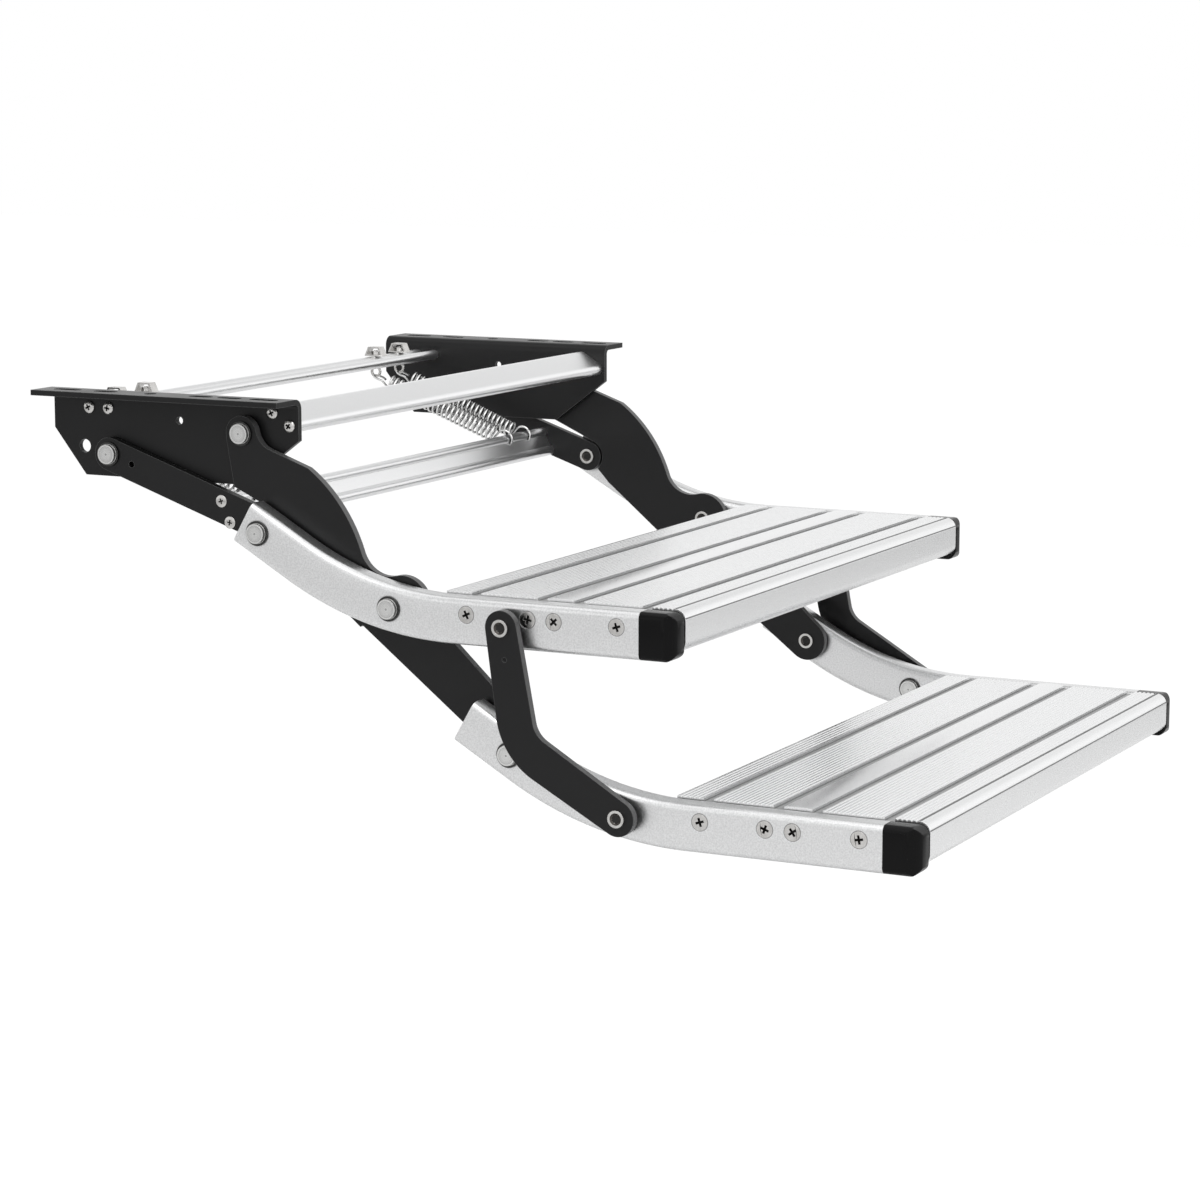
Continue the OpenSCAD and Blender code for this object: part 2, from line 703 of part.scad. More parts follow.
// Tread extrusion
module rib_cuts(y_rear, y_front) {
    n = floor((y_rear - y_front) / rib_pitch);
    start = (y_rear + y_front + (n - 1) * rib_pitch) / 2;
    for (i = [0 : n - 1]) translate([start - i * rib_pitch, tread_top_z])
        polygon([[-rib_pitch * 0.3, 0.1], [0, -rib_d], [rib_pitch * 0.3, 0.1]]);
}

module chamber(y_rear, y_front) {
    translate([y_front, tread_low_z + tread_wall])
        square([y_rear - y_front, tread_h - tread_wall - tread_top_wall]);
}

module tread_section() {
    crown_half = (mid_band_w - groove_w) / 2;
    crown_r = (crown_half * crown_half + crown_h * crown_h) / (2 * crown_h);
    crown_y = (groove_ys[1] + groove_ys[2]) / 2;
    difference() {
        union() {
            translate([nose_y + nose_r, tread_low_z]) square([tread_depth - nose_r, tread_h]);
            translate([nose_y, tread_low_z + nose_r]) square([nose_r + 1, tread_h - 2 * nose_r]);
            for (z = [tread_low_z + nose_r, tread_top_z - nose_r])
                translate([nose_y + nose_r, z]) circle(nose_r);
            intersection() {
                translate([crown_y, tread_top_z + crown_h - crown_r]) circle(crown_r);
                translate([crown_y - crown_half, tread_top_z - 1]) square([2 * crown_half, 1 + crown_h]);
            }
        }
        for (y = groove_ys)
            translate([y - groove_w / 2, tread_top_z - groove_d]) square([groove_w, groove_d + 1]);
        rib_cuts(tread_rear_y, groove_ys[0] + groove_w / 2);
        rib_cuts(groove_ys[0] - groove_w / 2, groove_ys[1] + groove_w / 2);
        rib_cuts(groove_ys[2] - groove_w / 2, groove_ys[3] + groove_w / 2);
        rib_cuts(groove_ys[3] - groove_w / 2, nose_y + nose_r);
        chamber(tread_rear_y - tread_wall, port_ys[0] + port_web_r);
        chamber(port_ys[0] - port_web_r, port_ys[1] + port_web_r);
        chamber(port_ys[1] - port_web_r, port_ys[2] + port_web_r);
        chamber(port_ys[2] - port_web_r, port_ys[3] + port_web_r);
        chamber(port_ys[3] - port_web_r, nose_y + nose_r);
        for (y = port_ys) translate([y, port_z]) circle(d = tread_screw_d);
    }
}

module tread() { across(-tube_in, tube_in) tread_section(); }
module upper_tread() { color(aluminium) tread(); }
module lower_tread() { color(aluminium) to_lower() tread(); }

module tread_screws() {
    both_sides() for (y = port_ys) {
        rod(tube_in - tread_screw_len, tube_out - csk_h + eps, [y, port_z], tread_screw_d);
        translate([tube_out - csk_h, y, port_z]) rotate([0, 90, 0])
            cylinder(d1 = tread_screw_d, d2 = csk_d, h = csk_h);
    }
}

module upper_tread_screws() { color(steel) tread_screws(); }
module lower_tread_screws() { color(steel) to_lower() tread_screws(); }

// Pins of the steps
module upper_link_studs() { color(steel) both_sides() pivot_pin(tube_out, tube_in, link_pin); }
module upper_arm_pins() { color(steel) both_sides() pivot_pin(tube_out, arm_in, upper_pin); }
module upper_arm_screws() { color(steel) both_sides() socket_screw(arm_in, upper_pin); }
module lower_arm_pins() { color(steel) both_sides() pivot_pin(tube_out, arm_in, lower_pin); }
module lower_arm_screws() { color(steel) both_sides() socket_screw(arm_in, lower_pin); }

// Pin that carries the dogleg, pressed in the tube, with a shoulder as its spacer
module dogleg_pin_right(p, x_end) {
    difference() {
        union() {
            rod(x_end, dogleg_out, p, pin_d);
            rod(tube_out, dogleg_in - 0.2, p, collar_d);
        }
        rod(dogleg_out - cap_thread_len, dogleg_out + 1, p, cap_thread_d);
    }
}

module outer_screw(x0, p) {
    translate([2 * x0, 0, 0]) mirror([1, 0, 0]) socket_screw(x0, p);
}

module dogleg_top_pins() { color(steel) both_sides() dogleg_pin_right(dogleg_top, tube_in); }
module dogleg_top_screws() { color(steel) both_sides() outer_screw(dogleg_out, dogleg_top); }

// Stud at the dogleg's lower end: the part in the stringer, with its inner head
module lower_dogleg_studs() {
    color(steel) both_sides() union() {
        rod(tube_in - eps, tube_out, dogleg_low, pin_d);
        rod(tube_in - collar_h, tube_in, dogleg_low, collar_d);
        rod(tube_in - collar_h - pin_head_h, tube_in - collar_h + eps, dogleg_low, pin_head_d);
        rod(tube_out - eps, dogleg_in - 0.3, dogleg_low, collar_d);
    }
}

module dogleg_low_screws() {
    color(steel) both_sides() translate([2 * dogleg_out, 0, 0]) mirror([1, 0, 0]) difference() {
        union() {
            rod(dogleg_out - cap_screw_h, dogleg_out, dogleg_low, cap_screw_d);
            rod(dogleg_out - eps, dogleg_out + dogleg_t, dogleg_low, cap_thread_d);
        }
        translate([dogleg_out - cap_screw_h - 1, dogleg_low[0], dogleg_low[1]]) rotate([0, 90, 0])
            cylinder(d = hex_af / cos(30), h = cap_screw_h + 1 - hex_floor, $fn = 6);
    }
}

// Dogleg links
function arc(c, r, a0, a1, n) = [for (i = [0 : n]) c + r * dir(a0 + (a1 - a0) * i / n)];

module dogleg_outline() {
    up_angle = atan2(dogleg_top[1] - elbow[1], dogleg_top[0] - elbow[0]);
    down_angle = atan2(dogleg_low[1] - elbow[1], dogleg_low[0] - elbow[0]) + 360;
    half = (down_angle - up_angle) / 2;
    inward = dir(up_angle + half);
    outer = arc(elbow + (elbow_outer_r - dogleg_half) / sin(half) * inward, elbow_outer_r,
        up_angle - 90, down_angle - 270, 16);
    inner = arc(elbow + (elbow_inner_r + dogleg_half) / sin(half) * inward, elbow_inner_r,
        down_angle - 270, up_angle - 90, 10);
    top_out = tangent_point(outer[0], dogleg_top, dogleg_top_r, 1) - dogleg_top;
    top_in = tangent_point(inner[10], dogleg_top, dogleg_top_r, -1) - dogleg_top;
    low_out = tangent_point(outer[16], dogleg_low, dogleg_low_r, -1) - dogleg_low;
    low_in = tangent_point(inner[0], dogleg_low, dogleg_low_r, 1) - dogleg_low;
    difference() {
        polygon(concat(
            arc(dogleg_top, dogleg_top_r, atan2(top_in[1], top_in[0]), atan2(top_out[1], top_out[0]), 24),
            outer,
            arc(dogleg_low, dogleg_low_r, atan2(low_out[1], low_out[0]),
                atan2(low_in[1], low_in[0]) - 360, 24),
            inner
        ));
        translate(dogleg_top) circle(d = pin_d + 2 * pin_clear);
        translate(dogleg_low) circle(d = cap_thread_d);
    }
}

module dogleg() {
    difference() {
        across(dogleg_in, dogleg_out) dogleg_outline();
        rod(dogleg_out - 1, dogleg_out + 1, dogleg_top - [2.5, 19], dimple_d);
    }
}

module dogleg_left() { color(black) left_side() dogleg(); }
module dogleg_right() { color(black) dogleg(); }

// Spring anchors under the rear cross bar
bracket_z = rear_bead[1] + bead_r;
bracket_top = bracket_z + bracket_h;

module bracket_shape(foot, roof, low, high) {
    polygon([
        [anchor_y - foot / 2, low], [anchor_y + foot / 2, low],
        [anchor_y + roof / 2, high], [anchor_y - roof / 2, high]
    ]);
}

module spring_brackets() {
    color(steel) both_sides() for (x = [inner_anchor_x, outer_anchor_x]) difference() {
        across(x - bracket_w / 2, x + bracket_w / 2) difference() {
            bracket_shape(bracket_foot, bracket_roof, bracket_z, bracket_top);
            bracket_shape(bracket_foot - 3 * bracket_t, bracket_roof - 2 * bracket_t,
                bracket_z + bracket_t, bracket_top - bracket_t);
        }
        translate([x, anchor_y, bracket_z - 1]) cylinder(d = anchor_d, h = bracket_t + 2);
    }
}

module anchor_bolts() {
    color(steel) both_sides() for (x = [inner_anchor_x, outer_anchor_x]) {
        translate([x, anchor_y, eye_z + eye_r + 0.3])
            cylinder(d = anchor_d, h = bracket_z + bracket_t + nut_h + 0.6 - eye_z - eye_r - 0.3);
        translate([x, anchor_y, eye_z]) rotate([0, 90, 0])
            rotate_extrude() translate([eye_r + eye_wire / 2, 0]) circle(d = eye_wire);
    }
}

module anchor_nuts() {
    color(steel) both_sides() for (x = [inner_anchor_x, outer_anchor_x]) difference() {
        translate([x, anchor_y, bracket_z + bracket_t]) cylinder(d = nut_af / cos(30), h = nut_h, $fn = 6);
        translate([x, anchor_y, bracket_z + bracket_t - 1]) cylinder(d = anchor_d, h = nut_h + 2);
    }
}

// Springs: a coil with a straight tail to each eye
function frame_x(w) = unit(cross(w, [0, 0, 1]));
function ring(c, t, r, n) = let (a = unit(cross(t, [0.3, 0.2, 0.93])), b = unit(cross(t, a)))
    [for (i = [0 : n - 1]) c + r * (cos(360 * i / n) * a + sin(360 * i / n) * b)];

sides = 5;
steps = 7;
tail_a = 4;
tail_b = 9;

function coil_path(a, b) = let (
    w = unit(b - a), u = frame_x(w), v = cross(w, u),
    len = norm(b - a) - tail_a - tail_b, r = (coil_d - wire_d) / 2, n = turns * steps)
    concat(
        [a, a + w],
        [for (i = [0 : n]) a + w * (tail_a + len * i / n)
            + r * (cos(360 * i / steps) * u + sin(360 * i / steps) * v)],
        [b - w * (tail_b - 3), b]
    );

module wire(path, d) {
    n = len(path);
    pts = [for (i = [0 : n - 1])
        let (t = unit(path[min(i + 1, n - 1)] - path[max(i - 1, 0)]))
        each ring(path[i], t, d / 2, sides)];
    body = [for (i = [0 : n - 2], j = [0 : sides - 1])
        let (k = (j + 1) % sides)
        [i * sides + j, (i + 1) * sides + j, (i + 1) * sides + k, i * sides + k]];
    start = [for (j = [0 : sides - 1]) j];
    end = [for (j = [sides - 1 : -1 : 0]) (n - 1) * sides + j];
    polyhedron(points = pts, faces = concat([start], body, [end]), convexity = 10);
}

module spring(xa, xh) {
    b = [xh, link_bead_top[0] + 2, link_bead_top[1] + bead_r + wire_d / 2 + 0.4];
    eye = [xa, anchor_y, eye_z];
    a = eye + (eye_r + eye_wire + wire_d / 2 + 0.4) * unit(b - eye);
    color(steel) wire(coil_path(a, b), wire_d);
}

module spring_left_inner() { left_side() spring(inner_anchor_x, inner_hook_x); }
module spring_left_outer() { left_side() spring(outer_anchor_x, outer_hook_x); }
module spring_right_inner() { spring(inner_anchor_x, inner_hook_x); }
module spring_right_outer() { spring(outer_anchor_x, outer_hook_x); }

mount_plate_left();
mount_plate_right();
front_cross_bar();
rear_cross_bar();
front_bar_screws();
rear_bar_screws();
arm_pivot_pins();
arm_pivot_screws();
link_pivot_pins();
link_pivot_screws();
spring_brackets();
anchor_bolts();
anchor_nuts();
arm_left();
arm_right();
rear_link_left();
rear_link_right();
link_cross_bar();
link_bar_screws();
link_end_screws();
upper_stringer_left();
upper_stringer_right();
upper_tread();
upper_tread_screws();
upper_cap_left();
upper_cap_right();
upper_link_studs();
upper_arm_pins();
upper_arm_screws();
dogleg_top_pins();
dogleg_left();
dogleg_right();
dogleg_top_screws();
dogleg_low_screws();
lower_stringer_left();
lower_stringer_right();
lower_tread();
lower_tread_screws();
lower_cap_left();
lower_cap_right();
lower_arm_pins();
lower_arm_screws();
lower_dogleg_studs();
spring_left_inner();
spring_left_outer();
spring_right_inner();
spring_right_outer();
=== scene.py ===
"""Looks of the folding caravan step: camera, light, finishes, springs and recesses in the screws.

The finishes go on the CAD solids. The springs' wire, the screws with their recesses and the fine
lines of painted shade along the treads' noses are pieces of their own.
"""

import math

import bmesh
import bpy
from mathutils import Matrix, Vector


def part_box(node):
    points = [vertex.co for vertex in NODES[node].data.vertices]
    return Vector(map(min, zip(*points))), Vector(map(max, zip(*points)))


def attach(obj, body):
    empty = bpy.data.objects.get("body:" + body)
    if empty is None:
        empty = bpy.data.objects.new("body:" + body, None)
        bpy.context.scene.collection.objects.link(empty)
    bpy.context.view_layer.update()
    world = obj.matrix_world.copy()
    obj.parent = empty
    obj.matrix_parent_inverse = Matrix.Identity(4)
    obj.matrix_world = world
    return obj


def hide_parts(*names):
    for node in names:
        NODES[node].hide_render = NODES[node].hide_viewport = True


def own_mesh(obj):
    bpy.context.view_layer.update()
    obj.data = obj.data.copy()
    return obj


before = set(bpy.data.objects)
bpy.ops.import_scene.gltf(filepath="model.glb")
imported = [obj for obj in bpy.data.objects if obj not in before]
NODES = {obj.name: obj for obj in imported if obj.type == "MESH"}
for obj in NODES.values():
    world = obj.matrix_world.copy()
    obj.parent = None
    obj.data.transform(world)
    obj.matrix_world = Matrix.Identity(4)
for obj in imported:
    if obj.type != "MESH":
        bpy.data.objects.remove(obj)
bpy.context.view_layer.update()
MM = 0.001
SIDES = ("left", "right")

# Camera of the photograph, in the row frame
CAMERA_PLACE = Vector((-2.0500, -1.2319, 0.2214))
CAMERA_AZIMUTH = -63.32
CAMERA_ELEVATION = 9.16
CAMERA_LENS = 105.06
CAMERA_CLIP = (0.05, 60.0)
SENSOR = 36.0

# Places that the springs need, from part.scad, in millimetres: their anchors and hooks in the side
# view, and how far each row's anchor and hook lie from the middle
ANCHOR_YZ = (55.0, -20.0)
HOOK_YZ = (-47.37, -65.67)
SPRING_X = {"inner": (148.0, 157.0), "outer": (182.0, 185.0)}
BAR_BEAD_R = 3.4
EYE_R = 2.4
EYE_WIRE = 2.0

# Wire of the springs: sizes in millimetres, sweeps in degrees
WIRE_D = 1.6
WIRE_SIDES = 12
COIL_D = 13.0
COIL_TURNS = 24
COIL_STEPS = 26
END_COIL_SHARE = 0.75
END_COIL_TURN = 0.35
LOOP_R = 4.6
LOOP_BEHIND_EYE = 1.4
LOOP_TO_COIL = 2.2
LOOP_SWEEP = (40.0, 330.0)
HOOK_R = 6.2
HOOK_TO_COIL = 1.5
HOOK_SWEEP = (-165.0, 75.0)
HOOK_STEPS = 22
HOOK_GAP = 0.2

# Hexagon sockets, in millimetres: radius and depths of their dark plugs of painted shade below the
# head, the cone of their mouths, and how far its cutter stands out of the head
SOCKET_R = 2.8
SOCKET_TOP = 0.75
SOCKET_BOTTOM = 1.3
MOUTH_R = 3.75
MOUTH_DEPTH = 0.7
MOUTH_OVER = 0.2
MOUTH_SIDES = 32

# Cross recesses: their outline and how far the cutter stands out of the head, in millimetres, its
# taper, and the turns that the crosses take in order
CROSS = [(0.6, 2.2), (0.6, 0.6), (2.2, 0.6), (2.2, -0.6), (0.6, -0.6), (0.6, -2.2),
         (-0.6, -2.2), (-0.6, -0.6), (-2.2, -0.6), (-2.2, 0.6), (-0.6, 0.6), (-0.6, 2.2)]
CROSS_OVER = 0.6
CROSS_TOP_SCALE = 1.12
CROSS_TIP_SCALE = 0.5
TURNS = [math.radians(a) for a in (20, 55, 80, 35, 65, 10, 45, 72)]

# Dark ring of painted shadow in the gap round the countersunk heads, in millimetres: inner and
# outer radius, and its depths; its material's slot; and how far below the head and beyond the gap
# the head's edge is looked for
CSK_RIM = (5.12, 5.42)
RIM_DEPTHS = (0.05, 0.3)
RIM_SIDES = 40
RIM_SLOT = 2
HEAD_BAND = 0.05
HEAD_REACH = 0.5

# Section of the treads, from part.scad, in millimetres
TREAD_H = 26.0
NOSE_R = 7.0
GROOVE_D = 2.0

# Fine lines of painted shade on the noses: angle in degrees and half width, then their section, in
# millimetres
NOSE_SHADE_LINES = ((87.0, 0.8), (12.0, 0.38))
LINE_OVER = 0.03
LINE_UNDER = 0.2
LINE_END = 0.3

# Distances within which CAD points are joined, for the shading and for a solid that can be cut,
# and the angle in degrees above which an edge stays sharp
SHADING_WELD = 0.000004
SOLID_WELD = 0.000002
SMOOTH_ANGLE = 28.0

# Anodised aluminium: noise scale of the grain, range of the grey, range of the roughness, and the
# distance, floor, start and end of the painted shade in its grooves and corners
ANODISED_BARS = (2600.0, (0.9, 0.96), (0.28, 0.34), (3.0 * MM, 0.45))
ANODISED_TUBES = (1050.0, (0.7, 0.88), (0.28, 0.36), (4.0 * MM, 0.25, 0.3, 0.85))
ANODISED_TREADS = (2600.0, (0.87, 0.94), (0.26, 0.34), (3.5 * MM, 0.16, 0.25, 0.62))

# Turned pin heads: grey by the distance from the axis, in millimetres; the bright and dark rings
# at the rim are painted highlight and painted shadow
TURNED_SPAN = 8.0
TURNED_GREYS_AND_PAINTED_RINGS = [(0.0, 0.4), (0.5, 0.4), (0.8, 0.74), (3.4, 0.68), (4.8, 0.62), (5.0, 0.34),
                 (5.2, 0.82), (6.3, 0.6), (6.5, 0.06)]

# Floor: its height, half its side, the strength and share of its white towards the camera, and its
# own grey
FLOOR_Z = -0.46
FLOOR_HALF = 9.0
FLOOR_WHITE = 1.115
FLOOR_WHITE_SHARE = 0.85
FLOOR_GREY = 0.8

# Light of the world, and how white the studio looks in reflections, by height: backdrop, darker
# upper wall, and the top lamp's place
WORLD_LIGHT = 0.55
STUDIO_LEVELS = [(0.0, 1.0), (0.38, 1.0), (0.52, 0.65), (0.76, 0.6), (0.92, 0.12)]

# Soft boxes: name, place, size and power; all look at one point
LAMP_TARGET = (0.0, -0.22, -0.12)
LAMPS = (("top_box", (-0.3, -0.5, 2.1), (3.3, 3.3), 34.0),
         ("left_box", (-2.1, -0.7, 1.9), (2.6, 1.6), 18.0),
         ("front_box", (0.6, -2.4, 0.7), (2.2, 1.6), 9.0))


# ---------------------------------------------------------------- camera


def add_object(name, data):
    made = bpy.data.objects.new(name, data)
    bpy.context.scene.collection.objects.link(made)
    return made


def aim(looker, direction):
    """Turns a camera or lamp so that it looks along direction."""
    looker.rotation_mode = "QUATERNION"
    looker.rotation_quaternion = direction.to_track_quat("-Z", "Y")


def add_camera():
    a, e = math.radians(CAMERA_AZIMUTH), math.radians(CAMERA_ELEVATION)
    forward = Vector((-math.sin(a) * math.cos(e), math.cos(a) * math.cos(e), -math.sin(e)))
    data = bpy.data.cameras.new("photo_camera")
    data.lens = CAMERA_LENS
    data.sensor_width = SENSOR
    data.clip_start, data.clip_end = CAMERA_CLIP
    camera = add_object("photo_camera", data)
    camera.location = CAMERA_PLACE
    aim(camera, forward)
    bpy.context.scene.camera = camera


# ---------------------------------------------------------------- materials


def fill_ramp(ramp, stops):
    """Gives a colour ramp its stops, pairs of a place from 0 to 1 and a colour."""
    elements = ramp.color_ramp.elements
    while len(elements) < len(stops):
        elements.new(0.5)
    for element, (place, color) in zip(elements, stops):
        element.position = place
        element.color = color


class Shader:
    """A Principled material with short calls for the nodes that it needs."""

    def __init__(self, name, color, metallic, roughness):
        self.mat = bpy.data.materials.new(name)
        self.mat.use_nodes = True
        self.nodes = self.mat.node_tree.nodes
        self.links = self.mat.node_tree.links
        self.bsdf = self.nodes["Principled BSDF"]
        self.bsdf.inputs["Base Color"].default_value = (*color, 1.0)
        self.bsdf.inputs["Metallic"].default_value = metallic
        self.bsdf.inputs["Roughness"].default_value = roughness
        self.coord = self.nodes.new("ShaderNodeTexCoord").outputs["Object"]
        self.normal = None

    def noise(self, scale, detail=4.0, place=None):
        """Noise over the object's own coordinates, or over place."""
        tex = self.nodes.new("ShaderNodeTexNoise")
        tex.inputs["Scale"].default_value = scale
        tex.inputs["Detail"].default_value = detail
        self.links.new(place if place is not None else self.coord, tex.inputs["Vector"])
        return tex.outputs["Fac"]

    def spread(self, value, low, high, start=0.3, end=0.7):
        """Maps value from start and end to low and high, and keeps it between them."""
        ramp = self.nodes.new("ShaderNodeMapRange")
        ramp.inputs["From Min"].default_value = start
        ramp.inputs["From Max"].default_value = end
        ramp.inputs["To Min"].default_value = low
        ramp.inputs["To Max"].default_value = high
        self.links.new(value, ramp.inputs["Value"])
        return ramp.outputs["Result"]

    def rough(self, value):
        self.links.new(value, self.bsdf.inputs["Roughness"])

    def tint(self, value, low, high):
        """Base colour between low and high."""
        mix = self.nodes.new("ShaderNodeMix")
        mix.data_type = "RGBA"
        mix.inputs["A"].default_value = (*low, 1.0)
        mix.inputs["B"].default_value = (*high, 1.0)
        self.links.new(value, mix.inputs["Factor"])
        self.links.new(mix.outputs["Result"], self.bsdf.inputs["Base Color"])

    def shade(self, share):
        """Multiplies the base colour by share, which paints shade."""
        base = self.bsdf.inputs["Base Color"].links[0].from_socket
        mix = self.nodes.new("ShaderNodeMix")
        mix.data_type = "RGBA"
        mix.blend_type = "MULTIPLY"
        mix.inputs["Factor"].default_value = 1.0
        self.links.new(base, mix.inputs["A"])
        self.links.new(share, mix.inputs["B"])
        self.links.new(mix.outputs["Result"], self.bsdf.inputs["Base Color"])

    def both(self, operation, a, b):
        node = self.nodes.new("ShaderNodeMath")
        node.operation = operation
        self.links.new(a, node.inputs[0])
        self.links.new(b, node.inputs[1])
        return node.outputs["Value"]

    def set_normal(self, node):
        """Puts a node that changes the normal after the last one."""
        if self.normal is not None:
            self.links.new(self.normal, node.inputs["Normal"])
        self.normal = node.outputs["Normal"]
        self.links.new(self.normal, self.bsdf.inputs["Normal"])

    def bump(self, value, strength, distance):
        node = self.nodes.new("ShaderNodeBump")
        node.inputs["Strength"].default_value = strength
        node.inputs["Distance"].default_value = distance
        self.links.new(value, node.inputs["Height"])
        self.set_normal(node)

    def round_edges(self, radius):
        node = self.nodes.new("ShaderNodeBevel")
        node.samples = 4
        node.inputs["Radius"].default_value = radius
        self.set_normal(node)

    def edge_mask(self, radius):
        """How far the rounded normal leans from the face's own, from 0 on faces to 1 on edges."""
        lean = self.nodes.new("ShaderNodeBevel")
        lean.samples = 6
        lean.inputs["Radius"].default_value = radius
        own = self.nodes.new("ShaderNodeNewGeometry")
        dot = self.nodes.new("ShaderNodeVectorMath")
        dot.operation = "DOT_PRODUCT"
        self.links.new(lean.outputs["Normal"], dot.inputs[0])
        self.links.new(own.outputs["Normal"], dot.inputs[1])
        return self.spread(dot.outputs["Value"], 1.0, 0.0, 0.86, 0.985)

    def crevice_shade(self, distance, floor, start=0.2, end=0.7):
        """A share from floor, deep in grooves and corners, to 1 on open faces: painted shade from
        ambient occlusion.
        """
        node = self.nodes.new("ShaderNodeAmbientOcclusion")
        node.samples = 8
        node.inputs["Distance"].default_value = distance
        return self.spread(node.outputs["AO"], floor, 1.0, start, end)

    def from_axis(self, y, z):
        """Distance from the line along X through y, z."""
        moved = self.nodes.new("ShaderNodeMapping")
        moved.inputs["Location"].default_value = (0.0, -y, -z)
        flat = self.nodes.new("ShaderNodeVectorMath")
        flat.operation = "MULTIPLY"
        flat.inputs[1].default_value = (0.0, 1.0, 1.0)
        length = self.nodes.new("ShaderNodeVectorMath")
        length.operation = "LENGTH"
        self.links.new(self.coord, moved.inputs["Vector"])
        self.links.new(moved.outputs["Vector"], flat.inputs[0])
        self.links.new(flat.outputs["Vector"], length.inputs[0])
        return length.outputs["Value"]

    def steps(self, value, span, stops):
        """A grey that follows the stops, pairs of a place between 0 and span and a level."""
        scale = self.spread(value, 0.0, 1.0, 0.0, span)
        ramp = self.nodes.new("ShaderNodeValToRGB")
        fill_ramp(ramp, [(place / span, (level, level, level * 0.99, 1.0))
                         for place, level in stops])
        self.links.new(scale, ramp.inputs["Fac"])
        return ramp.outputs["Color"]


def powder_coat(name, cut):
    """Black powder coat, lighter on its edges as wear and as a painted highlight.

    cut is how light it is on the cut edges of flat steel, which don't look sideways: a painted
    highlight.
    """
    s = Shader(name, (0.008, 0.008, 0.0085), 0.0, 0.36)
    s.bsdf.inputs["Specular IOR Level"].default_value = 0.28
    wear_and_edge_highlight = s.edge_mask(0.7 * MM)
    s.round_edges(0.5 * MM)
    s.bump(s.noise(1400.0, 2.0), 0.08, 0.12 * MM)
    s.rough(s.spread(s.noise(18.0), 0.3, 0.4))
    own, parts = s.nodes.new("ShaderNodeNewGeometry"), s.nodes.new("ShaderNodeSeparateXYZ")
    s.links.new(own.outputs["True Normal"], parts.inputs["Vector"])
    sideways = s.both("MULTIPLY", parts.outputs["X"], parts.outputs["X"])
    # Lighter on the edges, as wear and painted highlight, and on the cut faces as painted highlight
    light = s.both("MAXIMUM", wear_and_edge_highlight, s.spread(sideways, cut, 0.0, 0.1, 0.4))
    s.tint(light, (0.0072, 0.0072, 0.0076), (0.1, 0.1, 0.101))
    return s.mat


def anodised(name, grain, greys, roughness, hollow_shade):
    """Satin anodised aluminium: a fine even grain, with painted shade in its grooves and corners.
    """
    low, high = greys
    s = Shader(name, (high, high, high), 1.0, 0.3)
    s.round_edges(0.35 * MM)
    speckle = s.noise(grain, 2.0)
    s.bump(speckle, 0.1, 0.05 * MM)
    s.rough(s.spread(s.noise(grain * 0.5, 1.0), *roughness))
    s.tint(s.spread(speckle, 0.0, 1.0),
           (low, low * 1.004, low * 1.008), (high, high * 1.004, high * 1.008))
    # Painted shade: darker where grooves and corners close in
    s.shade(s.crevice_shade(*hollow_shade))
    return s


def groove_shade(shader, node):
    """Paints shade on the bottoms of a tread's long grooves, below its ribs and behind its nose."""
    low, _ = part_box(node)
    floor = low[2] + (TREAD_H - GROOVE_D) * MM
    parts = shader.nodes.new("ShaderNodeSeparateXYZ")
    shader.links.new(shader.coord, parts.inputs["Vector"])
    under = shader.spread(parts.outputs["Z"], 1.0, 0.0, floor + 0.1 * MM, floor + 0.8 * MM)
    above = shader.spread(parts.outputs["Z"], 0.0, 1.0, floor - 0.5 * MM, floor - 0.2 * MM)
    behind = shader.spread(parts.outputs["Y"], 0.0, 1.0,
                           low[1] + (NOSE_R + 1.0) * MM, low[1] + (NOSE_R + 2.0) * MM)
    inside = shader.both("MULTIPLY", shader.both("MULTIPLY", under, above), behind)
    # Painted shade on the groove bottoms
    shader.shade(shader.spread(inside, 1.0, 0.4, 0.0, 1.0))
    return shader


def stainless():
    s = Shader("stainless", (0.6, 0.59, 0.575), 1.0, 0.24)
    s.round_edges(0.45 * MM)
    s.bump(s.noise(2600.0, 2.0), 0.05, 0.03 * MM)
    s.rough(s.spread(s.noise(700.0), 0.16, 0.26))
    s.tint(s.spread(s.noise(260.0), 0.0, 1.0), (0.56, 0.55, 0.535), (0.7, 0.69, 0.675))
    return s.mat


def turned_painted_rings(node):
    """Turned steel of a node of pins on one axis: rings round it, and rings of painted highlight
    and shadow at the head's rim.
    """
    low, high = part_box(node)
    axis = (low[1] + high[1]) / 2, (low[2] + high[2]) / 2
    s = Shader(node + "_turned", (0.55, 0.54, 0.53), 1.0, 0.28)
    s.round_edges(0.45 * MM)
    radius = s.from_axis(*axis)
    rings = s.noise(2300.0, 2.0, radius)
    s.bump(rings, 0.2, 0.06 * MM)
    s.rough(s.spread(rings, 0.2, 0.34))
    # Greys by radius, with painted highlight and shadow rings at the head's rim
    levels = s.steps(radius, TURNED_SPAN * MM,
                     [(place * MM, level) for place, level in TURNED_GREYS_AND_PAINTED_RINGS])
    s.links.new(levels, s.bsdf.inputs["Base Color"])
    return s.mat


# Near black for the walls of the cross recesses and the plugs in the sockets: painted shade
def recess_shade():
    s = Shader("recess", (0.016, 0.015, 0.014), 0.4, 0.5)
    s.rough(s.spread(s.noise(900.0), 0.4, 0.6))
    return s.mat


# Dark steel for the coned mouths of the sockets: painted shade
def socket_mouth_shade():
    s = Shader("socket_mouth_shade", (0.13, 0.122, 0.116), 0.9, 0.35)
    s.rough(s.spread(s.noise(900.0), 0.28, 0.42))
    s.tint(s.spread(s.noise(420.0), 0.0, 1.0), (0.02, 0.018, 0.016), (0.11, 0.1, 0.092))
    return s.mat


